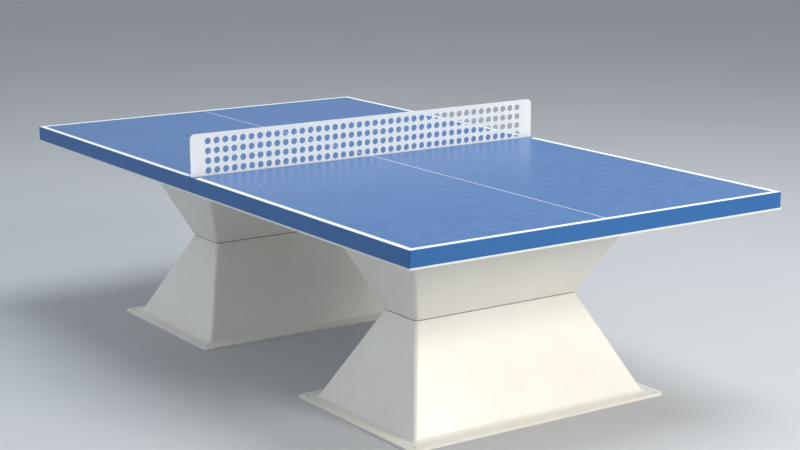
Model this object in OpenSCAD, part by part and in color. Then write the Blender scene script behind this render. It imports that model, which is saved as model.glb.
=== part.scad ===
// Outdoor table tennis table: two moulded half-tops on two hourglass legs, with a steel net.
// Millimetres, +Z up. The origin is on the ground under the middle of the table,
// +X runs along the table's length and +Y runs along the net.

/* [Playing surface] */
// Overall length of the top
table_l = 2740; // [2400:10:3000]
// Overall width of the top
table_w = 1525; // [1350:5:1700]
// Height of the playing surface above the ground
table_h = 760; // [680:5:800]
// Depth of the whole edge of the top, lip included
edge_h = 60; // [50:1:80]
// Thickness of the moulded top and of its skirts
shell_t = 5; // [4:0.5:8]
// Radius of the top's upright corners
top_corner_r = 6; // [3:1:15]

/* [Court lines] */
// Width of the lines along the edges
line_w = 20; // [10:1:30]
// Width of the line down the middle
centre_line_w = 3; // [2:1:8]
// Depth to which the lines are let into the top
line_t = 1; // [0.6:0.2:2]
// Bare edge left outside the lines
line_inset = 2; // [1:0.5:5]
// Length of side line left out on each side of the net
line_gap = 28; // [10:2:60]

/* [Underside] */
// Thickness of the panel that closes the underside
panel_t = 6; // [4:0.5:10]
// How far the panel's lip stands proud of the skirts
lip_out = 2; // [1:0.5:5]
// Width of the channel left open beside the net, in each half
channel_w = 80; // [60:5:120]
// Width of skirt left closed at each end of the channel
channel_end = 120; // [90:10:200]

/* [Net] */
// Height of the net above the playing surface
net_h = 152.5; // [120:0.5:180]
// Thickness of the net's steel sheet
net_t = 3; // [2:0.5:5]
// Radius of the net's upper corners
net_corner_r = 18; // [8:1:30]
// Diameter of the net's round holes
net_hole_d = 24.5; // [14:0.5:27]
// Distance between neighbouring holes, both ways
net_pitch = 35.5; // [34:0.5:37]
// Number of holes along the net
net_cols = 40; // [20:1:42]
// Number of rows of holes
net_rows = 4; // [2:1:4]
// Height of the lowest row above the playing surface
net_row_z = 17.5; // [15:0.5:22]
// Depth of the tongue that hangs between the half-tops
tongue_h = 46; // [40:1:50]

/* [Legs] */
// Distance of each leg's middle from the middle of the table
leg_x = 702; // [620:1:780]
// Length of the leg's foot and head flanges, along the table
flange_l = 720; // [640:5:800]
// Width of the leg's foot and head flanges, across the table
flange_w = 1090; // [980:5:1200]
// Thickness of the flanges
flange_t = 8; // [6:1:14]
// Radius of the flanges' corners
flange_r = 24; // [12:1:40]
// Length of the leg's body where it meets a flange
body_l = 608; // [500:2:610]
// Width of the leg's body where it meets a flange
body_w = 988; // [900:2:996]
// Radius of the body's upright corners where it meets a flange
body_r = 12; // [10:1:40]
// Length of the waist
waist_l = 196; // [180:2:260]
// Width of the waist
waist_w = 694; // [560:2:800]
// Radius of the waist's corners
waist_r = 14; // [12:1:36]
// Thickness of the leg's moulded walls
wall_t = 6; // [5:0.5:9]
// Thickness of the plate that closes each moulding at the waist
waist_plate_t = 8; // [6:1:14]
// Thickness of the gasket between the two mouldings
gasket_t = 2; // [1:0.5:4]

/* [Fasteners] */
// Diameter of the bolts at the waist and under the top
leg_bolt_d = 12; // [10:2:16]
// Diameter of the bolts that join the two half-tops
joint_bolt_d = 10; // [8:1:12]
// Distance from a flange's edge to the middle of its corner holes, both ways
hole_edge = 29; // [25:1:38]
// Number of bolts that join the two half-tops
joint_bolts_n = 6; // [4:1:8]
// Play around a bolt in its clearance hole, on the radius
bolt_clear = 1; // [0.5:0.25:1.5]
// Play around a bolt in a tapped hole, on the radius
thread_clear = 0.1; // [0.05:0.05:0.2]
// Play around a bar let into the core
pocket_clear = 0.5; // [0.2:0.1:1]

/* [Hidden] */

$fn = 64;
eps = 0.02;       // thickness of the slices that a hull is stretched between
over = 1;         // how far a cutting shape runs past the face it cuts

// heights of the top, from the playing surface down
skin_z = table_h - shell_t;
rim_z = table_h - edge_h;
panel_top_z = rim_z + panel_t;
half_gap = net_t / 2;
half_l = table_l / 2 - half_gap;

// legs: two equal mouldings, foot to foot, with the gasket between their waists
moulding_h = (rim_z - gasket_t) / 2;
flange_hole_x = flange_l / 2 - hole_edge;
flange_hole_y = flange_w / 2 - hole_edge;
foot_fillet = 12;
slope_l = (body_l - waist_l) / 2 / (moulding_h - flange_t);
slope_w = (body_w - waist_w) / 2 / (moulding_h - flange_t);
wall_l = wall_t * sqrt(1 + slope_l * slope_l);
wall_w = wall_t * sqrt(1 + slope_w * slope_w);
waist_bolt_x = waist_l / 2 - 38;
waist_bolt_y = waist_w / 2 - 70;

// fasteners: sizes follow the bolt's diameter
leg_hole_r = leg_bolt_d / 2 + bolt_clear;
tapped_r = leg_bolt_d / 2 + thread_clear;
joint_hole_r = joint_bolt_d / 2 + bolt_clear;
washer_t = 2.5;
washer_ratio = 2;        // a washer's outer diameter over the bolt's
head_h_ratio = 0.64;     // a head's height over the bolt's diameter
nut_h_ratio = 0.84;      // a nut's height over the bolt's diameter
flats_ratio = 1.6;       // width across a head's flats over the bolt's diameter
thread_tail = 4;         // length of bolt that stands out of a nut

// bars let into the core over the head flanges
bar_w = 60;
bar_t = 10;
bar_l = flange_w + 30;
bar_corner = 4;

// strips that spread the load of the bolts through the net's tongue
strip_t = 5;
strip_h = 36;
tongue_z = table_h - tongue_h;
tongue_l = table_w - 2 * channel_end + 20;
strip_l = tongue_l - 30;
joint_z = (skin_z + tongue_z) / 2;
joint_pitch = (strip_l - 80) / (joint_bolts_n - 1);
joint_stack = half_gap + shell_t + strip_t;

// ---------- outlines and small shapes ----------

// a rectangle with round corners, from x0 to x1 and centred on y
module round_rect(x0, x1, w, r) {
    translate([x0 + r, -w / 2]) square([x1 - x0 - 2 * r, w]);
    translate([x0, -w / 2 + r]) square([x1 - x0, w - 2 * r]);
    for (x = [x0 + r, x1 - r], y = [-w / 2 + r, w / 2 - r])
        translate([x, y]) circle(r = r);
}

// a rectangle with round corners at its far end only
module half_outline(x0, x1, w, r) {
    translate([x0, -w / 2]) square([x1 - x0 - r, w]);
    translate([x0, -w / 2 + r]) square([x1 - x0, w - 2 * r]);
    for (y = [-w / 2 + r, w / 2 - r])
        translate([x1 - r, y]) circle(r = r);
}

// mirror image for the left half of the table
module left() {
    mirror([1, 0, 0]) children();
}

// one copy at each corner of a rectangle
module at_corners(x, y) {
    for (sx = [-1, 1], sy = [-1, 1])
        translate([sx * x, sy * y, 0]) children();
}

// one copy over each leg
module at_legs() {
    for (s = [-1, 1])
        translate([s * leg_x, 0, 0]) children();
}

// hexagon bolt: head below z = 0, shank up to z = grip
module hex_bolt(d, grip) {
    translate([0, 0, -head_h_ratio * d])
        cylinder(d = flats_ratio * d / cos(30), h = head_h_ratio * d, $fn = 6);
    cylinder(d = d, h = grip);
}

// flat washer on z = 0
module washer(d, t) {
    difference() {
        cylinder(d = washer_ratio * d, h = t);
        translate([0, 0, -over]) cylinder(r = d / 2 + bolt_clear / 2, h = t + 2 * over);
    }
}

// hexagon nut on z = 0
module hex_nut(d) {
    difference() {
        cylinder(d = flats_ratio * d / cos(30), h = nut_h_ratio * d, $fn = 6);
        translate([0, 0, -over])
            cylinder(r = d / 2 + thread_clear, h = nut_h_ratio * d + 2 * over);
    }
}

// ---------- playing surface ----------

// moulded tray of one half: playing surface and four skirts, open below
module top_shell() {
    difference() {
        translate([0, 0, panel_top_z]) linear_extrude(table_h - panel_top_z)
            half_outline(half_gap, table_l / 2, table_w, top_corner_r);
        translate([0, 0, panel_top_z - over]) linear_extrude(skin_z - panel_top_z + over)
            translate([half_gap + shell_t, -table_w / 2 + shell_t])
                square([half_l - 2 * shell_t, table_w - 2 * shell_t]);
        court_line_shape(line_t, over);
        joint_holes(joint_hole_r);
    }
}

// the border lines and the half of the centre line that lie on one half-top
module court_line_shape(depth, above) {
    side_x = half_gap + line_gap;
    end_x = table_l / 2 - line_inset;
    span = table_w - 2 * line_inset;
    translate([0, 0, table_h - depth]) linear_extrude(depth + above) {
        difference() {
            half_outline(side_x, end_x, span, top_corner_r - line_inset);
            translate([side_x - over, -span / 2 + line_w])
                square([end_x - side_x - line_w + over, span - 2 * line_w]);
        }
        translate([half_gap, -centre_line_w / 2])
            square([end_x - half_gap - line_w / 2, centre_line_w]);
    }
}

// stiff board that fills a half-top, with a pocket for each fixing bar
module top_core() {
    x0 = half_gap + channel_w;
    difference() {
        translate([x0, -table_w / 2 + shell_t, panel_top_z])
            cube([table_l / 2 - shell_t - x0, table_w - 2 * shell_t, skin_z - panel_top_z]);
        for (s = [-1, 1])
            translate([leg_x + s * flange_hole_x, 0, panel_top_z - over])
                bar_block(pocket_clear, bar_t + pocket_clear + over);
        translate([leg_x, 0, panel_top_z - over])
            at_corners(flange_hole_x, flange_hole_y)
                cylinder(r = leg_hole_r, h = bar_t + 3 * washer_t + thread_tail + over);
    }
}

// panel that closes the underside; its lip shows under the skirts
module underside_panel() {
    open_w = table_w - 2 * channel_end;
    difference() {
        translate([0, 0, rim_z]) linear_extrude(panel_t)
            half_outline(half_gap, table_l / 2 + lip_out, table_w + 2 * lip_out,
                         top_corner_r + lip_out);
        translate([0, -open_w / 2, rim_z - over])
            cube([half_gap + channel_w, open_w, panel_t + 2 * over]);
        translate([leg_x, 0, rim_z - over])
            at_corners(flange_hole_x, flange_hole_y)
                cylinder(r = leg_hole_r, h = panel_t + 2 * over);
    }
}

// ---------- steel inside the top ----------

// plan of a fixing bar, grown by clear all round
module bar_block(clear, h) {
    linear_extrude(h)
        round_rect(-bar_w / 2 - clear, bar_w / 2 + clear, bar_l + 2 * clear, bar_corner);
}

// tapped bar over one side of a head flange
module fixing_bar(x) {
    translate([x, 0, panel_top_z]) difference() {
        bar_block(0, bar_t);
        for (s = [-1, 1])
            translate([0, s * flange_hole_y, -over]) cylinder(r = tapped_r, h = bar_t + 2 * over);
    }
}

// one hole through both half-tops for each joining bolt
module joint_holes(r) {
    for (i = [0 : joint_bolts_n - 1])
        translate([-joint_stack - over, (i - (joint_bolts_n - 1) / 2) * joint_pitch, joint_z])
            rotate([0, 90, 0]) cylinder(r = r, h = 2 * (joint_stack + over));
}

// strip behind the inner skirt of one half
module joint_bar() {
    difference() {
        translate([half_gap + shell_t, -strip_l / 2, joint_z - strip_h / 2])
            cube([strip_t, strip_l, strip_h]);
        joint_holes(joint_hole_r);
    }
}

// copies of a part along the row of joining bolts, turned to lie along +X
module at_joint_bolts() {
    for (i = [0 : joint_bolts_n - 1])
        translate([0, (i - (joint_bolts_n - 1) / 2) * joint_pitch, joint_z])
            rotate([0, 90, 0]) children();
}

// ---------- net ----------

// perforated sheet; its tongue hangs between the half-tops
module net_sheet() {
    rotate([90, 0, 90]) translate([0, 0, -half_gap]) linear_extrude(net_t) {
        difference() {
            union() {
                translate([-table_w / 2, table_h])
                    square([table_w, net_h - net_corner_r]);
                translate([-table_w / 2 + net_corner_r, table_h])
                    square([table_w - 2 * net_corner_r, net_h]);
                for (s = [-1, 1])
                    translate([s * (table_w / 2 - net_corner_r), table_h + net_h - net_corner_r])
                        circle(r = net_corner_r);
                translate([-tongue_l / 2, tongue_z]) square([tongue_l, tongue_h]);
            }
            for (i = [0 : net_cols - 1], j = [0 : net_rows - 1])
                translate([(i - (net_cols - 1) / 2) * net_pitch,
                           table_h + net_row_z + j * net_pitch])
                    circle(d = net_hole_d, $fn = 32);
            for (i = [0 : joint_bolts_n - 1])
                translate([(i - (joint_bolts_n - 1) / 2) * joint_pitch, joint_z])
                    circle(r = joint_hole_r);
        }
    }
}

// ---------- legs ----------

// thin slice of the leg's body
module slice(l, w, r, z) {
    translate([0, 0, z]) linear_extrude(eps) round_rect(-l / 2, l / 2, w, r, $fn = 32);
}

// one moulding of a leg: flange on z = 0, body narrowing up to the waist plate
module leg_moulding() {
    inner_h = moulding_h - waist_plate_t;
    in_body_l = body_l + 2 * slope_l * flange_t - 2 * wall_l;
    in_body_w = body_w + 2 * slope_w * flange_t - 2 * wall_w;
    in_waist_l = waist_l + 2 * slope_l * waist_plate_t - 2 * wall_l;
    in_waist_w = waist_w + 2 * slope_w * waist_plate_t - 2 * wall_w;
    difference() {
        union() {
            linear_extrude(flange_t) round_rect(-flange_l / 2, flange_l / 2, flange_w, flange_r);
            hull() {
                slice(body_l, body_w, body_r, flange_t - eps);
                slice(waist_l, waist_w, waist_r, moulding_h - eps);
            }
            hull() {
                slice(body_l + foot_fillet, body_w + foot_fillet, body_r, flange_t - eps);
                slice(body_l - 2 * slope_l * foot_fillet, body_w - 2 * slope_w * foot_fillet,
                      body_r, flange_t + foot_fillet);
            }
        }
        hull() {
            slice(in_body_l + 2 * slope_l * over, in_body_w + 2 * slope_w * over,
                  body_r - wall_t, -over);
            slice(in_waist_l, in_waist_w, waist_r - wall_t, inner_h - eps);
        }
        translate([0, 0, -over]) at_corners(flange_hole_x, flange_hole_y)
            cylinder(r = leg_hole_r, h = flange_t + 2 * over);
        translate([0, 0, inner_h - over]) at_corners(waist_bolt_x, waist_bolt_y)
            cylinder(r = leg_hole_r, h = waist_plate_t + 2 * over);
    }
}

// lower moulding, standing on its flange
module leg_lower(side) {
    translate([side * leg_x, 0, 0]) leg_moulding();
}

// upper moulding, the same shape turned over under the top
module leg_upper(side) {
    translate([side * leg_x, 0, rim_z]) mirror([0, 0, 1]) leg_moulding();
}

// gasket between the two waist plates
module waist_gasket(side) {
    inset = 3;
    translate([side * leg_x, 0, moulding_h]) difference() {
        linear_extrude(gasket_t)
            round_rect(-waist_l / 2 + inset, waist_l / 2 - inset, waist_w - 2 * inset,
                       waist_r - inset);
        translate([0, 0, -over]) at_corners(waist_bolt_x, waist_bolt_y)
            cylinder(r = leg_hole_r, h = gasket_t + 2 * over);
    }
}

waist_grip = 2 * waist_plate_t + gasket_t;
waist_low_z = moulding_h - waist_plate_t;
waist_high_z = waist_low_z + waist_grip;

// ---------- nodes ----------

module top_shell_right() { color("steelblue") top_shell(); }
module top_shell_left() { color("steelblue") left() top_shell(); }
module court_lines_right() { color("white") court_line_shape(line_t, 0); }
module court_lines_left() { color("white") left() court_line_shape(line_t, 0); }
module top_core_right() { color("burlywood") top_core(); }
module top_core_left() { color("burlywood") left() top_core(); }
module underside_panel_right() { color("gainsboro") underside_panel(); }
module underside_panel_left() { color("gainsboro") left() underside_panel(); }
module fixing_bar_left_outer() { color("silver") fixing_bar(-leg_x - flange_hole_x); }
module fixing_bar_left_inner() { color("silver") fixing_bar(-leg_x + flange_hole_x); }
module fixing_bar_right_inner() { color("silver") fixing_bar(leg_x - flange_hole_x); }
module fixing_bar_right_outer() { color("silver") fixing_bar(leg_x + flange_hole_x); }
module joint_bar_right() { color("silver") joint_bar(); }
module joint_bar_left() { color("silver") left() joint_bar(); }

module joint_bolts() {
    color("gray") at_joint_bolts() translate([0, 0, -joint_stack - washer_t])
        hex_bolt(joint_bolt_d,
                 2 * (joint_stack + washer_t) + nut_h_ratio * joint_bolt_d + thread_tail);
}

module joint_washers() {
    color("silver") at_joint_bolts() {
        translate([0, 0, joint_stack]) washer(joint_bolt_d, washer_t);
        translate([0, 0, -joint_stack - washer_t]) washer(joint_bolt_d, washer_t);
    }
}

module joint_nuts() {
    color("gray") at_joint_bolts() translate([0, 0, joint_stack + washer_t])
        hex_nut(joint_bolt_d);
}

module net_panel() { color("white") net_sheet(); }

// strips that close the seam at both ends of the tongue
module seam_seals() {
    seal_l = (table_w - tongue_l) / 2;
    color("dimgray") for (s = [-1, 1])
        translate([-half_gap, s * (tongue_l + seal_l) / 2 - seal_l / 2, panel_top_z])
            cube([net_t, seal_l, table_h - panel_top_z]);
}

module leg_upper_left() { color("whitesmoke") leg_upper(-1); }
module leg_upper_right() { color("whitesmoke") leg_upper(1); }
module leg_lower_left() { color("whitesmoke") leg_lower(-1); }
module leg_lower_right() { color("whitesmoke") leg_lower(1); }
module waist_gasket_left() { color("dimgray") waist_gasket(-1); }
module waist_gasket_right() { color("dimgray") waist_gasket(1); }

module waist_bolts() {
    grip = waist_grip + 2 * washer_t + nut_h_ratio * leg_bolt_d + thread_tail;
    color("gray") at_legs() translate([0, 0, waist_low_z - washer_t])
        at_corners(waist_bolt_x, waist_bolt_y) hex_bolt(leg_bolt_d, grip);
}

module waist_washers() {
    color("silver") at_legs() at_corners(waist_bolt_x, waist_bolt_y) {
        translate([0, 0, waist_low_z - washer_t]) washer(leg_bolt_d, washer_t);
        translate([0, 0, waist_high_z]) washer(leg_bolt_d, washer_t);
    }
}

module waist_nuts() {
    color("gray") at_legs() translate([0, 0, waist_high_z + washer_t])
        at_corners(waist_bolt_x, waist_bolt_y) hex_nut(leg_bolt_d);
}

module leg_top_bolts() {
    grip = washer_t + flange_t + panel_t + bar_t + thread_tail;
    color("gray") at_legs() translate([0, 0, rim_z - flange_t - washer_t])
        at_corners(flange_hole_x, flange_hole_y) hex_bolt(leg_bolt_d, grip);
}

module leg_top_washers() {
    color("silver") at_legs() translate([0, 0, rim_z - flange_t - washer_t])
        at_corners(flange_hole_x, flange_hole_y) washer(leg_bolt_d, washer_t);
}

top_shell_left();
top_shell_right();
court_lines_left();
court_lines_right();
top_core_left();
top_core_right();
underside_panel_left();
underside_panel_right();
fixing_bar_left_outer();
fixing_bar_left_inner();
fixing_bar_right_inner();
fixing_bar_right_outer();
joint_bar_left();
joint_bar_right();
joint_bolts();
joint_washers();
joint_nuts();
net_panel();
seam_seals();
leg_upper_left();
leg_upper_right();
leg_lower_left();
leg_lower_right();
waist_gasket_left();
waist_gasket_right();
waist_bolts();
waist_washers();
waist_nuts();
leg_top_bolts();
leg_top_washers();
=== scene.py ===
# %% [markdown]
# # An outdoor table tennis table
#
# The real table is built from a few large glass-fibre mouldings: two blue half-tops with a plywood
# core, two hourglass legs of two mouldings each, and a perforated steel net clamped between the
# half-tops. This lesson gives the CAD model its finished surfaces. The CAD model is a fixed frame in
# metres, so a new piece takes its place from the box of the CAD node that it stands for, and is never
# fitted by eye.

# %% Load the frame
import math

import bmesh
import bpy
from mathutils import Matrix, Vector


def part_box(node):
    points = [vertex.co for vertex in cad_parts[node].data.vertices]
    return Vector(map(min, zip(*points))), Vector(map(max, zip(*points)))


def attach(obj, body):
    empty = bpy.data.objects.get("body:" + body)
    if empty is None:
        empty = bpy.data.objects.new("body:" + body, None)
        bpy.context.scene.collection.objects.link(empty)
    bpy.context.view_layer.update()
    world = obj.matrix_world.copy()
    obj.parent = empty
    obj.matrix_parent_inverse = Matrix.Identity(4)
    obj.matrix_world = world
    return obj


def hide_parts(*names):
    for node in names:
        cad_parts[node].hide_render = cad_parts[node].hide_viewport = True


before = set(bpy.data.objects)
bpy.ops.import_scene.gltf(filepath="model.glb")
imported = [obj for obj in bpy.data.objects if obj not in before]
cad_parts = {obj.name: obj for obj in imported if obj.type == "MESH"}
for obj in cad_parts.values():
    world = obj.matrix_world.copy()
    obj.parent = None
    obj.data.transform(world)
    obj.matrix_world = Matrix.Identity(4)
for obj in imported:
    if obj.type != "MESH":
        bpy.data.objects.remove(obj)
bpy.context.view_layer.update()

scene = bpy.context.scene
MM = 0.001
SIDES = ("left", "right")

# %% [markdown]
# ## The camera
#
# The table is seen from standing height off one corner, about 6 m away. The camera is set by its
# place and by three angles: the heading of its view over the ground, the tilt below the horizon and
# a slight roll. Angles are easier to read and to correct than a rotation matrix.

# %% Place the camera
CAMERA_PLACE = (5.4414, -3.5457, 1.9255)
CAMERA_HEADING = math.radians(145.96)
CAMERA_TILT = math.radians(-12.451)
CAMERA_ROLL = math.radians(-0.138)
SENSOR_WIDTH = 36.0
FOCAL_LENGTH = 78.54

camera = bpy.data.objects.new("camera", bpy.data.cameras.new("camera"))
camera.data.sensor_width = SENSOR_WIDTH
camera.data.lens = FOCAL_LENGTH
camera.data.clip_end = 100.0
camera.matrix_world = (
    Matrix.Translation(CAMERA_PLACE)
    @ Matrix.Rotation(CAMERA_HEADING - math.pi / 2, 4, "Z")
    @ Matrix.Rotation(CAMERA_TILT + math.pi / 2, 4, "X")
    @ Matrix.Rotation(CAMERA_ROLL, 4, "Z")
)
scene.collection.objects.link(camera)
scene.camera = camera
print("camera at", CAMERA_PLACE, "with a lens of", FOCAL_LENGTH, "mm")

# %% [markdown]
# ## Helpers for meshes
#
# A CAD node arrives as loose triangles. Where its shape is right but its edges are too sharp, a copy
# is merged, its flat faces are joined again, and the edges are bevelled. Where a piece needs a shape
# that the CAD only hints at, it is built from rings, each extruded from the one before.
# Every new piece ends in the same way, so one function turns a bmesh into an object, makes it ride on
# the frame, hides the CAD nodes that it replaces and prints their names.

# %% Copy a CAD node so that its edges can be worked on
JOIN_DISTANCE = 1e-5
FLAT_ANGLE = math.radians(0.4)


def merged_copy(node):
    """The mesh of a CAD node with its doubles merged and its flat faces joined."""
    bm = bmesh.new()
    bm.from_mesh(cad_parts[node].data)
    bmesh.ops.remove_doubles(bm, verts=bm.verts, dist=JOIN_DISTANCE)
    bmesh.ops.dissolve_limit(
        bm, angle_limit=FLAT_ANGLE, use_dissolve_boundaries=False, verts=bm.verts, edges=bm.edges
    )
    return bm


def sharp_edges(bm, angle=math.radians(40)):
    """The edges where two faces meet at more than an angle."""
    return [edge for edge in bm.edges if len(edge.link_faces) == 2 and edge.calc_face_angle() > angle]


def round_edges(bm, edges, radius, segments=2):
    """Rounds edges to a radius, without letting neighbouring bevels run into each other."""
    bmesh.ops.bevel(
        bm, geom=edges, offset=radius, offset_type="OFFSET", segments=segments, profile=0.5,
        affect="EDGES", clamp_overlap=True, material=-1,
    )


# %% Turn a bmesh into a finished piece
SMOOTH_ANGLE = math.radians(35)


def finish_piece(bm, name, material, nodes):
    """Makes an object of a bmesh, at the origin, riding on the frame in place of some CAD nodes."""
    mesh = bpy.data.meshes.new(name)
    for edge in bm.edges:
        turned = len(edge.link_faces) == 2 and edge.calc_face_angle() > SMOOTH_ANGLE
        edge.smooth = not turned
    for face in bm.faces:
        face.smooth = True
    bm.to_mesh(mesh)
    bm.free()
    mesh.materials.append(material)
    piece = bpy.data.objects.new(name, mesh)
    scene.collection.objects.link(piece)
    weighted = piece.modifiers.new("flat faces keep their normals", "WEIGHTED_NORMAL")
    weighted.keep_sharp = True
    weighted.weight = 60
    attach(piece, "root")
    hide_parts(*nodes)
    print(name, "has", len(mesh.polygons), "faces and replaces", ", ".join(nodes))
    return piece


# %% [markdown]
# ## Helpers for materials
#
# Colours are written as sRGB hex values, because that is how paint charts give them, and turned to
# the linear values that shaders work in. One function adds a node, sets its settings and links its
# inputs. Patterns are read from Object coordinates: every piece sits at the origin, so a pattern's
# scale is a real size in metres, and it carries on from one piece to the next.

# %% Colour and node helpers
def linear(hex_colour):
    """An sRGB hex colour as linear RGBA."""
    channels = [int(hex_colour[i:i + 2], 16) / 255 for i in (1, 3, 5)]
    return [c / 12.92 if c <= 0.04045 else ((c + 0.055) / 1.055) ** 2.4 for c in channels] + [1.0]


def new_material(name):
    """An empty material with an output, and its node tree."""
    material = bpy.data.materials.new(name)
    material.use_nodes = True
    material.node_tree.nodes.clear()
    return material, material.node_tree


def add_node(tree, kind, inputs=None, **settings):
    """Adds a node. An input is a socket to link from, or a value to set."""
    node = tree.nodes.new(kind)
    for key, value in settings.items():
        setattr(node, key, value)
    for key, value in (inputs or {}).items():
        socket = node.inputs[key]
        if isinstance(value, bpy.types.NodeSocket):
            tree.links.new(value, socket)
        else:
            socket.default_value = value
    return node


# sockets of a colour Mix node, which keeps one set of inputs for each kind of data
MIX_FACTOR, MIX_A, MIX_B, MIX_RESULT = 0, 6, 7, 2


def pattern_scale(size_mm):
    """The scale of a noise texture whose blotches are about this size."""
    return 1.0 / (size_mm * MM)


print("white as linear:", linear("#ffffff"), "and a 40 mm noise has scale", pattern_scale(40))

# %% [markdown]
# ## Blue gelcoat
#
# Gelcoat is the pigmented polyester skin that is sprayed into a mould before the glass fibre is laid
# behind it. It leaves the mould smooth and semi-glossy. Three things keep it from looking like a flat
# colour: the fibre behind it prints through as very shallow waves, some years outdoors fade it in soft
# clouds, and the faces that look up carry a film of dust and the scuffs of bats and balls. The real
# orange peel is about 2 mm, too fine to show from 6 m away, so it is drawn at 7 mm.

# %% Make the blue gelcoat
PRINT_THROUGH = 70
ORANGE_PEEL = 7
SKIN_DEPTH = 0.15 * MM


def moulded_normal(tree, place):
    """The shallow waves and orange peel of a gelcoat skin, as a normal."""
    waves = add_node(tree, "ShaderNodeTexNoise", {
        "Vector": place, "Scale": pattern_scale(PRINT_THROUGH), "Detail": 1.0, "Roughness": 0.4,
    })
    peel = add_node(tree, "ShaderNodeTexNoise", {
        "Vector": place, "Scale": pattern_scale(ORANGE_PEEL), "Detail": 2.0, "Roughness": 0.5,
    })
    height = add_node(tree, "ShaderNodeMath", {
        0: peel.outputs["Fac"], 1: 0.15, 2: waves.outputs["Fac"],
    }, operation="MULTIPLY_ADD")
    bump = add_node(tree, "ShaderNodeBump", {
        "Height": height.outputs[0], "Strength": 1.0, "Distance": SKIN_DEPTH,
    })
    return bump.outputs["Normal"]


blue_gelcoat, tree = new_material("blue_gelcoat")
place = add_node(tree, "ShaderNodeTexCoord").outputs["Object"]
clouds = add_node(tree, "ShaderNodeTexNoise", {
    "Vector": place, "Scale": pattern_scale(420), "Detail": 4.0, "Roughness": 0.55,
})
fading = add_node(tree, "ShaderNodeMapRange", {
    "Value": clouds.outputs["Fac"], "From Min": 0.35, "From Max": 0.70, "To Max": 0.30,
})
pigment = add_node(tree, "ShaderNodeMix", {
    MIX_FACTOR: fading.outputs["Result"], MIX_A: linear("#105b9c"), MIX_B: linear("#1d6aaa"),
}, data_type="RGBA")
geometry = add_node(tree, "ShaderNodeNewGeometry")
facing = add_node(tree, "ShaderNodeSeparateXYZ", {"Vector": geometry.outputs["Normal"]})
upward = add_node(tree, "ShaderNodeMapRange", {
    "Value": facing.outputs["Z"], "From Min": 0.5, "From Max": 0.95,
})
film = add_node(tree, "ShaderNodeTexNoise", {
    "Vector": place, "Scale": pattern_scale(60), "Detail": 6.0, "Roughness": 0.65,
})
dust = add_node(tree, "ShaderNodeMapRange", {
    "Value": film.outputs["Fac"], "From Min": 0.40, "From Max": 0.75, "To Min": 0.03, "To Max": 0.11,
})
scuff_place = add_node(tree, "ShaderNodeMapping", {
    "Vector": place, "Rotation": (0.0, 0.0, 0.6), "Scale": (1.0, 14.0, 1.0),
})
scuffs = add_node(tree, "ShaderNodeTexNoise", {
    "Vector": scuff_place.outputs["Vector"], "Scale": pattern_scale(90), "Detail": 5.0, "Roughness": 0.7,
})
scuffing = add_node(tree, "ShaderNodeMapRange", {
    "Value": scuffs.outputs["Fac"], "From Min": 0.56, "From Max": 0.72, "To Max": 0.10,
})
worn = add_node(tree, "ShaderNodeMath", {
    0: dust.outputs["Result"], 1: scuffing.outputs["Result"],
}, operation="ADD")
wear = add_node(tree, "ShaderNodeMath", {
    0: worn.outputs[0], 1: upward.outputs["Result"],
}, operation="MULTIPLY")
colour = add_node(tree, "ShaderNodeMix", {
    MIX_FACTOR: wear.outputs[0], MIX_A: pigment.outputs[MIX_RESULT], MIX_B: linear("#c3c8c8"),
}, data_type="RGBA")
roughness = add_node(tree, "ShaderNodeMapRange", {
    "Value": wear.outputs[0], "From Max": 0.2, "To Min": 0.27, "To Max": 0.46,
})
shader = add_node(tree, "ShaderNodeBsdfPrincipled", {
    "Base Color": colour.outputs[MIX_RESULT], "Roughness": roughness.outputs["Result"], "IOR": 1.55,
    "Normal": moulded_normal(tree, place),
})
add_node(tree, "ShaderNodeOutputMaterial", {"Surface": shader.outputs["BSDF"]})
print(blue_gelcoat.name, "has", len(tree.nodes), "nodes")

# %% [markdown]
# ## White gelcoat
#
# The legs leave their moulds with the same skin in a warm white. White shows weather more than blue
# does: it yellows in patches, rain draws faint grey streaks down the sloping walls, and a band of
# splashed dirt about 70 mm high builds up over the ground. The streaks are a noise that is stretched
# along the height, and the splash band is a ramp on the height, broken up by a finer noise.

# %% Make the white gelcoat
SPLASH_HEIGHT = 70 * MM

white_gelcoat, tree = new_material("white_gelcoat")
place = add_node(tree, "ShaderNodeTexCoord").outputs["Object"]
patches = add_node(tree, "ShaderNodeTexNoise", {
    "Vector": place, "Scale": pattern_scale(300), "Detail": 3.0, "Roughness": 0.5,
})
yellowing = add_node(tree, "ShaderNodeMapRange", {
    "Value": patches.outputs["Fac"], "From Min": 0.35, "From Max": 0.70, "To Max": 0.45,
})
pigment = add_node(tree, "ShaderNodeMix", {
    MIX_FACTOR: yellowing.outputs["Result"], MIX_A: linear("#efece4"), MIX_B: linear("#e6e0d2"),
}, data_type="RGBA")
streak_place = add_node(tree, "ShaderNodeMapping", {"Vector": place, "Scale": (1.0, 1.0, 0.05)})
streaks = add_node(tree, "ShaderNodeTexNoise", {
    "Vector": streak_place.outputs["Vector"], "Scale": pattern_scale(22), "Detail": 4.0,
    "Roughness": 0.6,
})
streaking = add_node(tree, "ShaderNodeMapRange", {
    "Value": streaks.outputs["Fac"], "From Min": 0.52, "From Max": 0.80, "To Max": 0.05,
})
parts = add_node(tree, "ShaderNodeSeparateXYZ", {"Vector": place})
near_ground = add_node(tree, "ShaderNodeMapRange", {
    "Value": parts.outputs["Z"], "From Max": SPLASH_HEIGHT, "To Min": 0.16, "To Max": 0.0,
})
spatter = add_node(tree, "ShaderNodeTexNoise", {
    "Vector": place, "Scale": pattern_scale(14), "Detail": 5.0, "Roughness": 0.7,
})
splashes = add_node(tree, "ShaderNodeMath", {
    0: near_ground.outputs["Result"], 1: spatter.outputs["Fac"],
}, operation="MULTIPLY")
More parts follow.
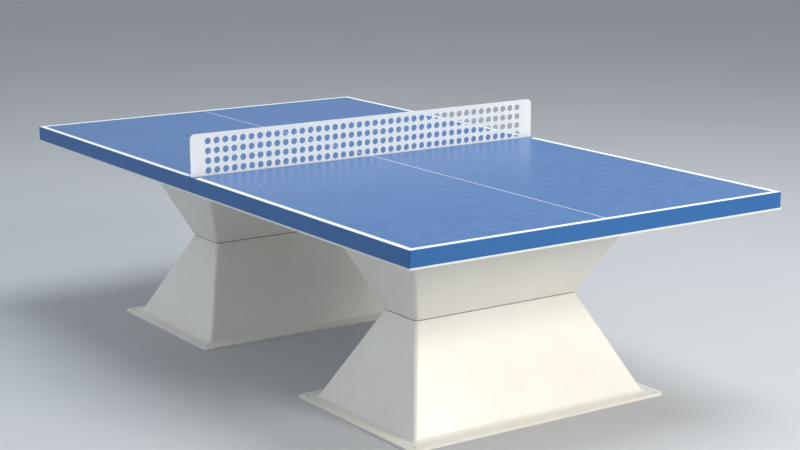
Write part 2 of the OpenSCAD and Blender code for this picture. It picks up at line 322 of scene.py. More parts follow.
grime = add_node(tree, "ShaderNodeMath", {
    0: splashes.outputs[0], 1: streaking.outputs["Result"],
}, operation="ADD")
colour = add_node(tree, "ShaderNodeMix", {
    MIX_FACTOR: grime.outputs[0], MIX_A: pigment.outputs[MIX_RESULT], MIX_B: linear("#a39c8c"),
}, data_type="RGBA")
roughness = add_node(tree, "ShaderNodeMapRange", {
    "Value": grime.outputs[0], "From Max": 0.4, "To Min": 0.30, "To Max": 0.55,
})
shader = add_node(tree, "ShaderNodeBsdfPrincipled", {
    "Base Color": colour.outputs[MIX_RESULT], "Roughness": roughness.outputs["Result"], "IOR": 1.55,
    "Normal": moulded_normal(tree, place),
})
add_node(tree, "ShaderNodeOutputMaterial", {"Surface": shader.outputs["BSDF"]})
print(white_gelcoat.name, "has", len(tree.nodes), "nodes")

# %% [markdown]
# ## Line gelcoat and the underside panel
#
# The court lines are a cooler, cleaner white, let flush into the blue. Play rubs them, so their gloss
# varies more than their colour. The panel under the top is a flat laminate with a satin skin. It was
# never against a polished mould, so the chopped strands of the glass mat, 10 to 20 mm long, show
# through as crossing flecks: a Voronoi pattern that measures the distance to its cell edges.

# %% Make the line gelcoat
line_gelcoat, tree = new_material("line_gelcoat")
place = add_node(tree, "ShaderNodeTexCoord").outputs["Object"]
rubs = add_node(tree, "ShaderNodeTexNoise", {
    "Vector": place, "Scale": pattern_scale(35), "Detail": 5.0, "Roughness": 0.6,
})
rubbed = add_node(tree, "ShaderNodeMapRange", {
    "Value": rubs.outputs["Fac"], "From Min": 0.45, "From Max": 0.80, "To Max": 0.30,
})
colour = add_node(tree, "ShaderNodeMix", {
    MIX_FACTOR: rubbed.outputs["Result"], MIX_A: linear("#f4f7f8"), MIX_B: linear("#d5dbdd"),
}, data_type="RGBA")
roughness = add_node(tree, "ShaderNodeMapRange", {
    "Value": rubs.outputs["Fac"], "From Min": 0.3, "From Max": 0.8, "To Min": 0.30, "To Max": 0.50,
})
shader = add_node(tree, "ShaderNodeBsdfPrincipled", {
    "Base Color": colour.outputs[MIX_RESULT], "Roughness": roughness.outputs["Result"], "IOR": 1.55,
    "Normal": moulded_normal(tree, place),
})
add_node(tree, "ShaderNodeOutputMaterial", {"Surface": shader.outputs["BSDF"]})
print(line_gelcoat.name, "has", len(tree.nodes), "nodes")

# %% Make the laminate of the underside panel
STRAND = 12
STRAND_DEPTH = 0.06 * MM

panel_laminate, tree = new_material("panel_laminate")
place = add_node(tree, "ShaderNodeTexCoord").outputs["Object"]
strand_place = add_node(tree, "ShaderNodeMapping", {
    "Vector": place, "Rotation": (0.0, 0.0, 0.5), "Scale": (1.0, 3.0, 1.0),
})
strands = add_node(tree, "ShaderNodeTexVoronoi", {
    "Vector": strand_place.outputs["Vector"], "Scale": pattern_scale(STRAND),
}, feature="DISTANCE_TO_EDGE")
fleck = add_node(tree, "ShaderNodeMapRange", {
    "Value": strands.outputs["Distance"], "From Max": 0.15, "To Min": 0.10, "To Max": 0.0,
})
cobwebs = add_node(tree, "ShaderNodeTexNoise", {
    "Vector": place, "Scale": pattern_scale(180), "Detail": 5.0, "Roughness": 0.6,
})
shade = add_node(tree, "ShaderNodeMath", {
    0: cobwebs.outputs["Fac"], 1: 0.35, 2: fleck.outputs["Result"],
}, operation="MULTIPLY_ADD")
colour = add_node(tree, "ShaderNodeMix", {
    MIX_FACTOR: shade.outputs[0], MIX_A: linear("#e6e8e8"), MIX_B: linear("#b9bab4"),
}, data_type="RGBA")
relief = add_node(tree, "ShaderNodeBump", {
    "Height": strands.outputs["Distance"], "Strength": 1.0, "Distance": STRAND_DEPTH,
})
shader = add_node(tree, "ShaderNodeBsdfPrincipled", {
    "Base Color": colour.outputs[MIX_RESULT], "Roughness": 0.46, "IOR": 1.52,
    "Normal": relief.outputs["Normal"],
})
add_node(tree, "ShaderNodeOutputMaterial", {"Surface": shader.outputs["BSDF"]})
print(panel_laminate.name, "has", len(tree.nodes), "nodes")

# %% [markdown]
# ## Powder coat
#
# The net is punched from 3 mm steel sheet and powder coated: a baked polyester skin with a fine, even
# orange peel and a softer gloss than gelcoat. Rain washes it, so dirt only stays where the net meets
# the table, in a band some 15 mm high.

# %% Make the powder coat
DIRT_BAND = 15 * MM

powder_coat, tree = new_material("powder_coat")
place = add_node(tree, "ShaderNodeTexCoord").outputs["Object"]
table_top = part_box("top_shell_right")[1].z
parts = add_node(tree, "ShaderNodeSeparateXYZ", {"Vector": place})
low_band = add_node(tree, "ShaderNodeMapRange", {
    "Value": parts.outputs["Z"], "From Min": table_top, "From Max": table_top + DIRT_BAND,
    "To Min": 0.45, "To Max": 0.06,
})
dirt = add_node(tree, "ShaderNodeTexNoise", {
    "Vector": place, "Scale": pattern_scale(25), "Detail": 5.0, "Roughness": 0.65,
})
soiling = add_node(tree, "ShaderNodeMath", {
    0: low_band.outputs["Result"], 1: dirt.outputs["Fac"],
}, operation="MULTIPLY")
colour = add_node(tree, "ShaderNodeMix", {
    MIX_FACTOR: soiling.outputs[0], MIX_A: linear("#e6e8e8"), MIX_B: linear("#a9a69c"),
}, data_type="RGBA")
grain = add_node(tree, "ShaderNodeTexNoise", {
    "Vector": place, "Scale": pattern_scale(4), "Detail": 2.0, "Roughness": 0.5,
})
peel = add_node(tree, "ShaderNodeBump", {
    "Height": grain.outputs["Fac"], "Strength": 1.0, "Distance": 0.05 * MM,
})
roughness = add_node(tree, "ShaderNodeMapRange", {
    "Value": soiling.outputs[0], "From Max": 0.3, "To Min": 0.40, "To Max": 0.60,
})
shader = add_node(tree, "ShaderNodeBsdfPrincipled", {
    "Base Color": colour.outputs[MIX_RESULT], "Roughness": roughness.outputs["Result"], "IOR": 1.5,
    "Normal": peel.outputs["Normal"],
})
add_node(tree, "ShaderNodeOutputMaterial", {"Surface": shader.outputs["BSDF"]})
print(powder_coat.name, "has", len(tree.nodes), "nodes")

# %% [markdown]
# ## Rubber, plywood and metals
#
# The seam is closed by black EPDM rubber, extruded, with a chalky bloom. The core is exterior
# plywood: on its edge it shows plies 3 mm thick, light and dark in turn, and on its face a grain that
# runs along the table. The bars inside the top are hot-dip galvanised, which leaves zinc crystals
# about 12 mm across, each with its own shine. The bolts are turned from stainless steel.

# %% Make the rubber
epdm_rubber, tree = new_material("epdm_rubber")
place = add_node(tree, "ShaderNodeTexCoord").outputs["Object"]
bloom = add_node(tree, "ShaderNodeTexNoise", {
    "Vector": place, "Scale": pattern_scale(12), "Detail": 5.0, "Roughness": 0.7,
})
chalk = add_node(tree, "ShaderNodeMapRange", {
    "Value": bloom.outputs["Fac"], "From Min": 0.4, "From Max": 0.8, "To Max": 0.4,
})
colour = add_node(tree, "ShaderNodeMix", {
    MIX_FACTOR: chalk.outputs["Result"], MIX_A: linear("#1d1f21"), MIX_B: linear("#4a4c4d"),
}, data_type="RGBA")
skin = add_node(tree, "ShaderNodeBump", {
    "Height": bloom.outputs["Fac"], "Strength": 1.0, "Distance": 0.1 * MM,
})
shader = add_node(tree, "ShaderNodeBsdfPrincipled", {
    "Base Color": colour.outputs[MIX_RESULT], "Roughness": 0.72, "IOR": 1.52,
    "Normal": skin.outputs["Normal"],
})
add_node(tree, "ShaderNodeOutputMaterial", {"Surface": shader.outputs["BSDF"]})
print(epdm_rubber.name, "has", len(tree.nodes), "nodes")

# %% Make the plywood
PLY = 3
WAVE_PERIODS = 20 / math.tau    # light bands per unit of scale in a Wave texture

plywood, tree = new_material("plywood")
place = add_node(tree, "ShaderNodeTexCoord").outputs["Object"]
plies = add_node(tree, "ShaderNodeTexWave", {
    "Vector": place, "Scale": 1 / (2 * PLY * MM) / WAVE_PERIODS, "Distortion": 0.4,
}, wave_type="BANDS", bands_direction="Z")
grain_place = add_node(tree, "ShaderNodeMapping", {"Vector": place, "Scale": (0.06, 1.0, 1.0)})
grain = add_node(tree, "ShaderNodeTexNoise", {
    "Vector": grain_place.outputs["Vector"], "Scale": pattern_scale(9), "Detail": 6.0,
    "Roughness": 0.65,
})
ply_colour = add_node(tree, "ShaderNodeMix", {
    MIX_FACTOR: plies.outputs["Fac"], MIX_A: linear("#8f6b43"), MIX_B: linear("#c9a676"),
}, data_type="RGBA")
colour = add_node(tree, "ShaderNodeMix", {
    MIX_FACTOR: grain.outputs["Fac"], MIX_A: ply_colour.outputs[MIX_RESULT], MIX_B: linear("#a57f52"),
}, data_type="RGBA")
fibres = add_node(tree, "ShaderNodeBump", {
    "Height": grain.outputs["Fac"], "Strength": 1.0, "Distance": 0.2 * MM,
})
shader = add_node(tree, "ShaderNodeBsdfPrincipled", {
    "Base Color": colour.outputs[MIX_RESULT], "Roughness": 0.62, "IOR": 1.5,
    "Normal": fibres.outputs["Normal"],
})
add_node(tree, "ShaderNodeOutputMaterial", {"Surface": shader.outputs["BSDF"]})
print(plywood.name, "has", len(tree.nodes), "nodes")

# %% Make the galvanised steel
SPANGLE = 12

galvanised_steel, tree = new_material("galvanised_steel")
place = add_node(tree, "ShaderNodeTexCoord").outputs["Object"]
crystals = add_node(tree, "ShaderNodeTexVoronoi", {"Vector": place, "Scale": pattern_scale(SPANGLE)})
shine = add_node(tree, "ShaderNodeSeparateColor", {"Color": crystals.outputs["Color"]})
colour = add_node(tree, "ShaderNodeMix", {
    MIX_FACTOR: shine.outputs["Red"], MIX_A: linear("#9a9fa3"), MIX_B: linear("#c0c4c7"),
}, data_type="RGBA")
roughness = add_node(tree, "ShaderNodeMapRange", {
    "Value": shine.outputs["Green"], "To Min": 0.34, "To Max": 0.58,
})
shader = add_node(tree, "ShaderNodeBsdfPrincipled", {
    "Base Color": colour.outputs[MIX_RESULT], "Metallic": 1.0, "Roughness": roughness.outputs["Result"],
})
add_node(tree, "ShaderNodeOutputMaterial", {"Surface": shader.outputs["BSDF"]})
print(galvanised_steel.name, "has", len(tree.nodes), "nodes")

# %% Make the stainless steel
stainless_steel, tree = new_material("stainless_steel")
place = add_node(tree, "ShaderNodeTexCoord").outputs["Object"]
turning = add_node(tree, "ShaderNodeTexNoise", {
    "Vector": place, "Scale": pattern_scale(3), "Detail": 4.0, "Roughness": 0.6,
})
colour = add_node(tree, "ShaderNodeMix", {
    MIX_FACTOR: turning.outputs["Fac"], MIX_A: linear("#a8a7a3"), MIX_B: linear("#cbcac6"),
}, data_type="RGBA")
roughness = add_node(tree, "ShaderNodeMapRange", {
    "Value": turning.outputs["Fac"], "From Min": 0.3, "From Max": 0.7, "To Min": 0.24, "To Max": 0.40,
})
shader = add_node(tree, "ShaderNodeBsdfPrincipled", {
    "Base Color": colour.outputs[MIX_RESULT], "Metallic": 1.0, "Roughness": roughness.outputs["Result"],
})
add_node(tree, "ShaderNodeOutputMaterial", {"Surface": shader.outputs["BSDF"]})
print(stainless_steel.name, "has", len(tree.nodes), "nodes")

# %% [markdown]
# ## The two half-tops
#
# Each half-top is a shallow tray, moulded upside down, with a skirt 54 mm deep on all four sides. The
# court lines lie in grooves, so the CAD shape is right down to the groove, and only the arris is
# missing: a mould can't give a dead sharp edge. A copy of the node is enough, with the outer edge of
# the playing surface rounded by 1.6 mm. It has to stay under 2 mm, where the white line begins.

# %% Round the rims of the half-tops and panels
TOP_ARRIS = 1.6 * MM
LIP_ARRIS = 1.3 * MM
TOUCHING = 0.05 * MM
RIM_ZONE = 2 * MM      # a rim's face stands this near the outside, and is taller than this
ALONG = Vector((1.0, 0.0, 0.0))
ACROSS = Vector((0.0, 1.0, 0.0))
FLANGE_HOLES = (331 * MM, 516 * MM)    # from a leg's middle to its corner holes


def rim_edges(bm, low, high, height, outer_x):
    """The edges at a height along the three outer sides of a half-top or a panel."""
    found = []
    for edge in bm.edges:
        if any(abs(vert.co.z - height) > TOUCHING for vert in edge.verts):
            continue
        for face in edge.link_faces:
            tall = max(vert.co.z for vert in face.verts) - min(vert.co.z for vert in face.verts)
            middle = face.calc_center_median()
            inset = min(abs(middle.x - outer_x), middle.y - low.y, high.y - middle.y)
            if abs(face.normal.z) < 0.1 and tall > RIM_ZONE > inset:
                found.append(edge)
    return found


def join_flat_faces(bm, height, cuts):
    """Joins the loose faces that lie flat at a height, and parts them by planes (place, axis)."""
    def flat_faces():
        return [
            face for face in bm.faces
            if abs(face.normal.z) > 0.9 and abs(face.calc_center_median().z - height) < TOUCHING
        ]

    for place, axis in cuts:
        flat = flat_faces()
        around = {item for face in flat for item in list(face.edges) + list(face.verts)}
        bmesh.ops.bisect_plane(
            bm, geom=flat + list(around), dist=JOIN_DISTANCE, plane_co=place, plane_no=axis
        )
    cells = {}
    for face in flat_faces():
        middle = face.calc_center_bounds()
        cell = tuple((middle - place).dot(axis) > 0 for place, axis in cuts)
        cells.setdefault(cell, []).append(face)
    for faces in cells.values():
        bmesh.ops.dissolve_faces(bm, faces=faces, use_verts=False)


for side in SIDES:
    low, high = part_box("top_shell_" + side)
    outer_x = high.x if side == "right" else low.x
    bm = merged_copy("top_shell_" + side)
    join_flat_faces(bm, high.z, [((low + high) / 2, ALONG)])
    rim = rim_edges(bm, low, high, high.z, outer_x)
    round_edges(bm, rim, TOP_ARRIS, segments=4)
    print("half-top", side, "has a rim of", len(rim), "edges")
    finish_piece(bm, "half_top_" + side, blue_gelcoat, ["top_shell_" + side])

    leg_low, leg_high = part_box("leg_upper_" + side)
    leg_middle = (leg_low + leg_high) / 2
    cuts = [(leg_middle + ALONG * reach, ALONG) for reach in (-FLANGE_HOLES[0], FLANGE_HOLES[0])]
    cuts += [(leg_middle + ACROSS * reach, ACROSS) for reach in (-FLANGE_HOLES[1], FLANGE_HOLES[1])]
    low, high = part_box("underside_panel_" + side)
    outer_x = high.x if side == "right" else low.x
    bm = merged_copy("underside_panel_" + side)
    join_flat_faces(bm, low.z, cuts)
    join_flat_faces(bm, high.z, cuts)
    rim = rim_edges(bm, low, high, low.z, outer_x) + rim_edges(bm, low, high, high.z, outer_x)
    round_edges(bm, rim, LIP_ARRIS, segments=3)
    finish_piece(bm, "panel_" + side, panel_laminate, ["underside_panel_" + side])

# %% Give the court lines and the core their finish
def dress(node, material):
    """Gives a CAD node a finish and leaves its shape alone."""
    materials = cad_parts[node].data.materials
    materials.clear()
    materials.append(material)


for side in SIDES:
    dress("court_lines_" + side, line_gelcoat)
    dress("top_core_" + side, plywood)
    dress("fixing_bar_" + side + "_outer", galvanised_steel)
    dress("fixing_bar_" + side + "_inner", galvanised_steel)
print("dressed the court lines, the cores and the fixing bars")

# %% [markdown]
# ## The net
#
# The net is a sheet with 160 punched holes, and a tongue that hangs between the half-tops. Punching
# leaves a rounded edge on the side where the punch goes in, and the powder coat softens every edge, so
# all of them are rounded by 0.45 mm. The bars and seals inside the joint get the same small rounding.

# %% Round the net, the bars and the seals
POWDER_ARRIS = 0.45 * MM
BAR_ARRIS = 0.6 * MM

bm = merged_copy("net_panel")
round_edges(bm, sharp_edges(bm), POWDER_ARRIS)
finish_piece(bm, "net_sheet", powder_coat, ["net_panel"])

for side in SIDES:
    bm = merged_copy("joint_bar_" + side)
    round_edges(bm, sharp_edges(bm), BAR_ARRIS)
    finish_piece(bm, "joint_strip_" + side, galvanised_steel, ["joint_bar_" + side])
    bm = merged_copy("waist_gasket_" + side)
    round_edges(bm, sharp_edges(bm), BAR_ARRIS)
    finish_piece(bm, "gasket_" + side, epdm_rubber, ["waist_gasket_" + side])

bm = merged_copy("seam_seals")
round_edges(bm, sharp_edges(bm), BAR_ARRIS)
finish_piece(bm, "seam_strips", epdm_rubber, ["seam_seals"])

# %% [markdown]
# ## The legs
#
# A leg is two equal mouldings, foot to foot: a flange that lies on the ground, a hollow body that
# narrows to the waist, and a plate that closes it there. The upright corners have a radius of 12 mm
# at the flange and 14 mm at the waist, a soft fillet runs round the foot, and every arris is rounded
# so that it lets go of the mould. A bevel would need the faces to be very clean, so the skin is lofted
# instead: a rectangle with round corners is extruded through one ring after another. A ring is held as
# a vector of four numbers: half its length, half its width, its corner radius, its height.
# The flat faces, which have bolt holes in them, are filled last.

# %% Draw a ring and loft through many
CORNER_STEPS = 10


def ring_edges(bm, half_length, half_width, radius, height):
    """A closed loop of edges: a rectangle with round corners, lying flat at a height."""
    before = set(bm.faces)
    corners = bmesh.ops.create_grid(bm, x_segments=1, y_segments=1, size=1.0)["verts"]
    bmesh.ops.scale(bm, vec=(half_length, half_width, 1.0), verts=corners)
    bmesh.ops.translate(bm, vec=(0.0, 0.0, height), verts=corners)
    bmesh.ops.bevel(
        bm, geom=corners, offset=radius, offset_type="OFFSET", segments=CORNER_STEPS, profile=0.5,
        affect="VERTICES", material=-1,
    )
    faces = [face for face in bm.faces if face not in before]
    edges = list({edge for face in faces for edge in face.edges})
    bmesh.ops.delete(bm, geom=faces, context="FACES_ONLY")
    return edges


def extrude_loop(bm, loop):
    """Extrudes a closed loop of edges in place, and returns the new vertices and the new loop."""
    made = bmesh.ops.extrude_edge_only(bm, edges=loop)["geom"]
    verts = {item for item in made if isinstance(item, bmesh.types.BMVert)}
    around = {edge for vert in verts for edge in vert.link_edges}
    return verts, [edge for edge in around if verts.issuperset(edge.verts)]


def loft(bm, rings):
    """Draws the first ring, extrudes it through the others, and returns both end loops of edges."""
    first = loop = ring_edges(bm, *rings[0])
    for old, new in zip(rings, rings[1:]):
        verts, loop = extrude_loop(bm, loop)
        for vert in verts:
            for axis in (0, 1):
                round_part = abs(vert.co[axis]) - (old[axis] - old[2])
                reach = new[axis] - new[2] + round_part * new[2] / old[2]
                vert.co[axis] = math.copysign(reach, vert.co[axis])
            vert.co.z = new[3]
    return first, loop


def rounding(start, corner, end, steps):
    """Rings along a curve that rounds the corner between two straight runs of a profile."""
    shares = [step / steps for step in range(steps + 1)]
    return [start * (1 - t) ** 2 + corner * (2 * t * (1 - t)) + end * t ** 2 for t in shares]


def step_towards(ring, other, height):
    """The ring that is a height away from one ring on the straight way to another."""
    return ring + (other - ring) * (height / abs(other[3] - ring[3]))


OUTWARDS = Vector((1.0, 1.0, 1.0, 0.0))
print("a ring has", 4 * (CORNER_STEPS + 1), "vertices")

# %% Loft one leg moulding
FLANGE_THICK = 8 * MM
FLANGE_CORNER = 24 * MM
BODY = Vector((304.0, 494.0, 12.0, 8.0)) * MM
WAIST = Vector((98.0, 347.0, 14.0, 349.0)) * MM
INNER_WAIST = Vector((95.8, 343.9, 8.0, 341.0)) * MM
INNER_MOUTH = Vector((301.8, 490.9, 6.0, 0.0)) * MM
FOOT_FILLET = 13 * MM
CEILING_FILLET = 6 * MM
WAIST_ARRIS = 2.5 * MM
FLANGE_ARRIS = 2.5 * MM
HOLE_RADIUS = 7 * MM
HOLE_CHAMFER = 0.6 * MM
HOLE_STEPS = 32
WAIST_HOLES = (60 * MM, 277 * MM)


def drill(bm, reach, low, high):
    """The walls of four holes, one at each corner of a rectangle, with chamfered mouths."""
    mouths = [[], []]
    levels = [(low, HOLE_CHAMFER), (low + HOLE_CHAMFER, 0.0), (high - HOLE_CHAMFER, 0.0),
              (high, HOLE_CHAMFER)]
    for x in (-reach[0], reach[0]):
        for y in (-reach[1], reach[1]):
            loops = []
            for height, wider in levels:
                circle = bmesh.ops.create_circle(
                    bm, cap_ends=False, segments=HOLE_STEPS, radius=HOLE_RADIUS + wider,
                    matrix=Matrix.Translation((x, y, height)),
                )["verts"]
                loops.append(list({edge for vert in circle for edge in vert.link_edges}))
            for one, other in zip(loops, loops[1:]):
                bmesh.ops.bridge_loops(bm, edges=one + other)
            mouths[0] += loops[0]
            mouths[1] += loops[-1]
    return mouths


def leg_moulding():
    """One moulding of a leg, standing on its flange over the origin."""
    flange_low, flange_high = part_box("leg_lower_right")
    half = (flange_high - flange_low) / 2
    edge_low = Vector((half.x, half.y, FLANGE_CORNER, 0.0))
    edge_high = Vector((half.x, half.y, FLANGE_CORNER, FLANGE_THICK))
    bm = bmesh.new()
    flange_rings = rounding(
        edge_low - OUTWARDS * MM, edge_low, step_towards(edge_low, edge_high, MM), 2
    ) + rounding(
        step_towards(edge_high, edge_low, FLANGE_ARRIS), edge_high,
        edge_high - OUTWARDS * FLANGE_ARRIS, 4,
    )
    sole_rim, flange_rim = loft(bm, flange_rings)
    body_rings = rounding(
        BODY + OUTWARDS * FOOT_FILLET, BODY, step_towards(BODY, WAIST, FOOT_FILLET), 6
    ) + rounding(
        step_towards(WAIST, BODY, WAIST_ARRIS), WAIST, WAIST - OUTWARDS * WAIST_ARRIS, 5
    )
    foot_rim, plate_rim = loft(bm, body_rings)
    inner_rings = rounding(
        INNER_WAIST - OUTWARDS * CEILING_FILLET, INNER_WAIST,
        step_towards(INNER_WAIST, INNER_MOUTH, CEILING_FILLET), 4,
    ) + rounding(
        step_towards(INNER_MOUTH, INNER_WAIST, MM), INNER_MOUTH, INNER_MOUTH + OUTWARDS * MM, 2
    )
    ceiling_rim, mouth_rim = loft(bm, inner_rings)
    anchors_low, anchors_high = drill(bm, FLANGE_HOLES, 0.0, FLANGE_THICK)
    bolts_low, bolts_high = drill(bm, WAIST_HOLES, INNER_WAIST[3], WAIST[3])
    for outline in (
        sole_rim + mouth_rim + anchors_low, flange_rim + foot_rim + anchors_high,
        ceiling_rim + bolts_low, plate_rim + bolts_high,
    ):
        bmesh.ops.triangle_fill(bm, use_beauty=True, edges=outline, normal=(0.0, 0.0, 1.0))
    bmesh.ops.remove_doubles(bm, verts=bm.verts, dist=JOIN_DISTANCE)
    bmesh.ops.recalc_face_normals(bm, faces=bm.faces)
    return bm


sample = leg_moulding()
open_edges = [edge for edge in sample.edges if not edge.is_manifold]
print("a leg moulding has", len(sample.faces), "faces and", len(open_edges), "open edges")
sample.free()

# %% [markdown]
# ## Set the four mouldings
#
# The lower mouldings stand on the ground, and the upper ones hang under the top, turned over. Turning
# a mesh over by a negative scale makes its faces look inwards, so the normals are worked out again.

# %% Set the mouldings in their nodes' places
for side in SIDES:
    for part in ("lower", "upper"):
        node = "leg_" + part + "_" + side
        low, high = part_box(node)
        bm = leg_moulding()
        if part == "upper":
            bmesh.ops.scale(bm, vec=(1.0, 1.0, -1.0), verts=bm.verts)
            bmesh.ops.translate(bm, vec=(0.0, 0.0, high.z - low.z), verts=bm.verts)
            bmesh.ops.recalc_face_normals(bm, faces=bm.faces)
        middle = (low + high) / 2
        bmesh.ops.translate(bm, vec=(middle.x, middle.y, low.z), verts=bm.verts)
        finish_piece(bm, "leg_moulding_" + part + "_" + side, white_gelcoat, [node])

# %% [markdown]
# ## Bolts, washers and nuts
#
# All the fasteners are turned or forged round one axis, so each is one loop extruded along that axis,
# as a circle for the shank and the thread and as a hexagon for the head. A real thread is a helix; at
# M10 and M12, rings that are one pitch apart look the same and stay closed. Each piece is
# made once along +Z, then copied to every place where the CAD node has a solid, which is found by
# walking over the node's merged mesh.

# %% Find the solids in a node
def solid_boxes(node):
    """The (low, high) box of each separate solid in a CAD node."""
    bm = merged_copy(node)
    waiting = set(bm.verts)
    boxes = []
    while waiting:
        reached = {waiting.pop()}
        front = list(reached)
        while front:
            vert = front.pop()
            for edge in vert.link_edges:
                other = edge.other_vert(vert)
                if other not in reached:
                    reached.add(other)
                    front.append(other)
        waiting -= reached
        places = [vert.co for vert in reached]
        low = Vector([min(place[i] for place in places) for i in range(3)])
        high = Vector([max(place[i] for place in places) for i in range(3)])
        boxes.append((low, high))
    bm.free()
    return boxes


print("waist washers:", len(solid_boxes("waist_washers")), "solids")

# %% Make a turned or forged piece from loops
AROUND = 24


def place_ring(verts, section):
    """Puts the vertices of a loop on a circle or a hexagon, each at the angle it already has."""
    radius, height, hexagon = section
    for vert in verts:
        angle = math.atan2(vert.co.y, vert.co.x)
        reach = radius
        if hexagon:
            from_flat = angle % math.radians(60) - math.radians(30)
            reach = radius * math.cos(math.radians(30)) / math.cos(from_flat)
        vert.co = (reach * math.cos(angle), reach * math.sin(angle), height)


def turned(sections, closed_ring):
    """A mesh through a row of (radius, height, is a hexagon), with its ends capped or joined."""
    stops = sections[1:] + sections[:1] if closed_ring else sections[1:]
    bm = bmesh.new()
    verts = bmesh.ops.create_circle(bm, cap_ends=False, segments=AROUND, radius=1.0)["verts"]
    first = loop = list({edge for vert in verts for edge in vert.link_edges})
    place_ring(verts, sections[0])
    for section in stops:
        verts, loop = extrude_loop(bm, loop)
        place_ring(verts, section)
    if closed_ring:
        bmesh.ops.remove_doubles(bm, verts=bm.verts, dist=JOIN_DISTANCE)
    else:
        bmesh.ops.edgeloop_fill(bm, edges=first)
        bmesh.ops.edgeloop_fill(bm, edges=loop)
    bmesh.ops.recalc_face_normals(bm, faces=bm.faces)
    mesh = bpy.data.meshes.new("turned")
    bm.to_mesh(mesh)
    bm.free()
    return mesh


def set_in_places(mesh, node, along):
    """One copy of a mesh for each solid of a node, its +Z turned along an axis."""
    turn = Matrix.Rotation(math.radians(90), 4, "Y") if along == "x" else Matrix.Identity(4)
    bm = bmesh.new()
    for low, high in solid_boxes(node):
        middle = (low + high) / 2
        foot = Vector((low.x, middle.y, middle.z)) if along == "x" else Vector((middle.x, middle.y, low.z))
        first = len(bm.verts)
        bm.from_mesh(mesh)
        bm.verts.ensure_lookup_table()
        bmesh.ops.transform(bm, matrix=Matrix.Translation(foot) @ turn, verts=bm.verts[first:])
    return bm


# %% Draw the bolts, washers and nuts
PITCH_SHARE = 0.146    # thread pitch over diameter, near enough for M10 and M12
HEAD_HEIGHT = 0.64     # head height over diameter
FLATS = 1.6            # width across flats over diameter
CORNERS = FLATS / math.cos(math.radians(30))
END_FACE = 0.93        # radius of the flat end of a head or nut, over half its width across flats
END_HEIGHT = 0.10      # height of the chamfer round that end, over diameter
SEAT = 0.95            # radius of the raised seat under a head, over half its width across flats
SEAT_STEP = 0.3 * MM
THREAD_ROOT = 0.87     # radius at the root of the thread, over that at its crest
TIP = 0.8              # radius of the bolt's end, over that of its shank
TAP_PLAY = 0.1 * MM
TAP_MOUTH = 1.1        # radius of the mouth of a tapped hole, over that of the bolt


def bolt_sections(diameter, length, threaded):
    """A hexagon bolt, head down at the origin, threaded at its far end."""
    r = diameter / 2
    head = HEAD_HEIGHT * diameter
    pitch = PITCH_SHARE * diameter
    sections = [
        (END_FACE * FLATS * r, 0.0, False), (CORNERS * r, END_HEIGHT * diameter, True),
        (CORNERS * r, head - SEAT_STEP, True), (SEAT * FLATS * r, head - SEAT_STEP, False),
        (SEAT * FLATS * r, head, False), (r, head, False),
    ]
    height = length - threaded
    while height < length - 1.6 * pitch:
        sections += [(r, height, False), (THREAD_ROOT * r, height + 0.5 * pitch, False)]
        height += pitch
    return sections + [(r, length - pitch, False), (TIP * r, length, False)]


def nut_sections(diameter, height):
    """A hexagon nut on the origin, with chamfered ends and a threaded hole."""
    r = diameter / 2
    return [
        (END_FACE * FLATS * r, 0.0, False), (CORNERS * r, END_HEIGHT * diameter, True),
        (CORNERS * r, height - END_HEIGHT * diameter, True), (END_FACE * FLATS * r, height, False),
        (TAP_MOUTH * r, height, False), (r + TAP_PLAY, height - (TAP_MOUTH - 1.0) * r, False),
        (r + TAP_PLAY, (TAP_MOUTH - 1.0) * r, False), (TAP_MOUTH * r, 0.0, False),
    ]


def washer_sections(outer, inner, thick):
    """A flat washer on the origin, with the rounded outer edge that punching leaves."""
    soft = 0.3 * MM
    return [
        (outer - soft, 0.0, False), (outer, soft, False), (outer, thick - soft, False),
        (outer - soft, thick, False), (inner, thick, False), (inner, 0.0, False),
    ]


# %% Set the fasteners in place
WASHER_PLAY = 0.5 * MM
BOLT_NODES = {"joint_bolts": "x", "waist_bolts": "z", "leg_top_bolts": "z"}
NUT_NODES = {"joint_nuts": "x", "waist_nuts": "z"}
WASHER_NODES = {"joint_washers": "x", "waist_washers": "z", "leg_top_washers": "z"}


def size_along(node, along):
    """The length of a node's first solid along its axis, and its narrower size across."""
    low, high = solid_boxes(node)[0]
    size = high - low
    across = (size.y, size.z) if along == "x" else (size.x, size.y)
    return (size.x if along == "x" else size.z), min(across)


for node, along in BOLT_NODES.items():
    length, flats = size_along(node, along)
    diameter = flats / FLATS
    mesh = turned(bolt_sections(diameter, length, min(2.2 * diameter, 0.6 * length)), False)
    finish_piece(set_in_places(mesh, node, along), "hex_" + node, stainless_steel, [node])

for node, along in NUT_NODES.items():
    height, flats = size_along(node, along)
    mesh = turned(nut_sections(flats / FLATS, height), True)
    finish_piece(set_in_places(mesh, node, along), "hex_" + node, stainless_steel, [node])

for node, along in WASHER_NODES.items():
    thick, outer = size_along(node, along)
    mesh = turned(washer_sections(outer / 2, outer / 4 + WASHER_PLAY, thick), True)
    finish_piece(set_in_places(mesh, node, along), "flat_" + node, stainless_steel, [node])

# %% [markdown]
# ## Floor and light
#
# The floor is a plain pale sheet, wide enough to fill the view. A large soft key light stands to the
# right of the near end, which leaves the long side in gentle shade. A wide light overhead evens out the
# playing surface, a weak fill opens the shade, and a pale world gives the blue top its soft sheen at
# this low angle. The Standard view keeps the whites of the gelcoat as white as they are.

# %% Lay the floor
FLOOR_SIZE = 30.0

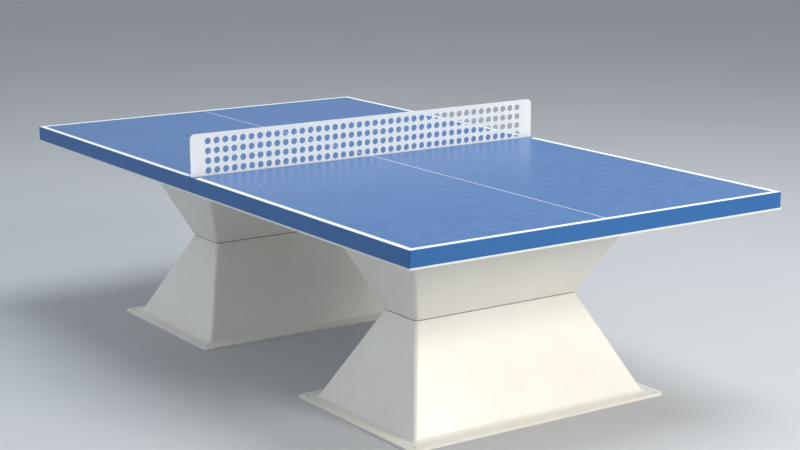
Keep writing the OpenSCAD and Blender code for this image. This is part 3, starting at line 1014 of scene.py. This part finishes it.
floor_paint, tree = new_material("floor_paint")
place = add_node(tree, "ShaderNodeTexCoord").outputs["Object"]
mottle = add_node(tree, "ShaderNodeTexNoise", {
    "Vector": place, "Scale": pattern_scale(900), "Detail": 3.0, "Roughness": 0.5,
})
colour = add_node(tree, "ShaderNodeMix", {
    MIX_FACTOR: mottle.outputs["Fac"], MIX_A: linear("#b6b8ba"), MIX_B: linear("#bec0c2"),
}, data_type="RGBA")
shader = add_node(tree, "ShaderNodeBsdfPrincipled", {
    "Base Color": colour.outputs[MIX_RESULT], "Roughness": 0.85,
})
add_node(tree, "ShaderNodeOutputMaterial", {"Surface": shader.outputs["BSDF"]})

bm = bmesh.new()
bmesh.ops.create_grid(bm, x_segments=1, y_segments=1, size=FLOOR_SIZE)
floor_mesh = bpy.data.meshes.new("floor")
bm.to_mesh(floor_mesh)
bm.free()
floor_mesh.materials.append(floor_paint)
floor = bpy.data.objects.new("floor", floor_mesh)
scene.collection.objects.link(floor)
print("floor", 2 * FLOOR_SIZE, "m square")

# %% Hang the lights
def soft_light(name, place, target, size, power, hex_colour):
    """A square area light that points at a target."""
    lamp = bpy.data.lights.new(name, "AREA")
    lamp.shape = "SQUARE"
    lamp.size = size
    lamp.energy = power
    lamp.color = linear(hex_colour)[:3]
    light = bpy.data.objects.new(name, lamp)
    light.location = place
    light.rotation_euler = (Vector(target) - Vector(place)).to_track_quat("-Z", "Y").to_euler()
    scene.collection.objects.link(light)
    return light


soft_light("key", (6.4, 2.2, 3.6), (0.5, 0.0, 0.4), 2.4, 330.0, "#fff9f0")
soft_light("top", (0.5, 1.5, 6.5), (0.0, 0.0, 0.7), 4.0, 300.0, "#f4f8ff")
soft_light("fill", (-3.0, -6.0, 4.0), (0.0, 0.0, 0.5), 5.0, 90.0, "#eaf1ff")

world = bpy.data.worlds.new("pale studio")
world.use_nodes = True
background = world.node_tree.nodes["Background"]
background.inputs["Color"].default_value = linear("#e3ebf3")
background.inputs["Strength"].default_value = 0.55
scene.world = world
scene.view_settings.view_transform = "Standard"
print("a key, a top and a fill light in an even world")
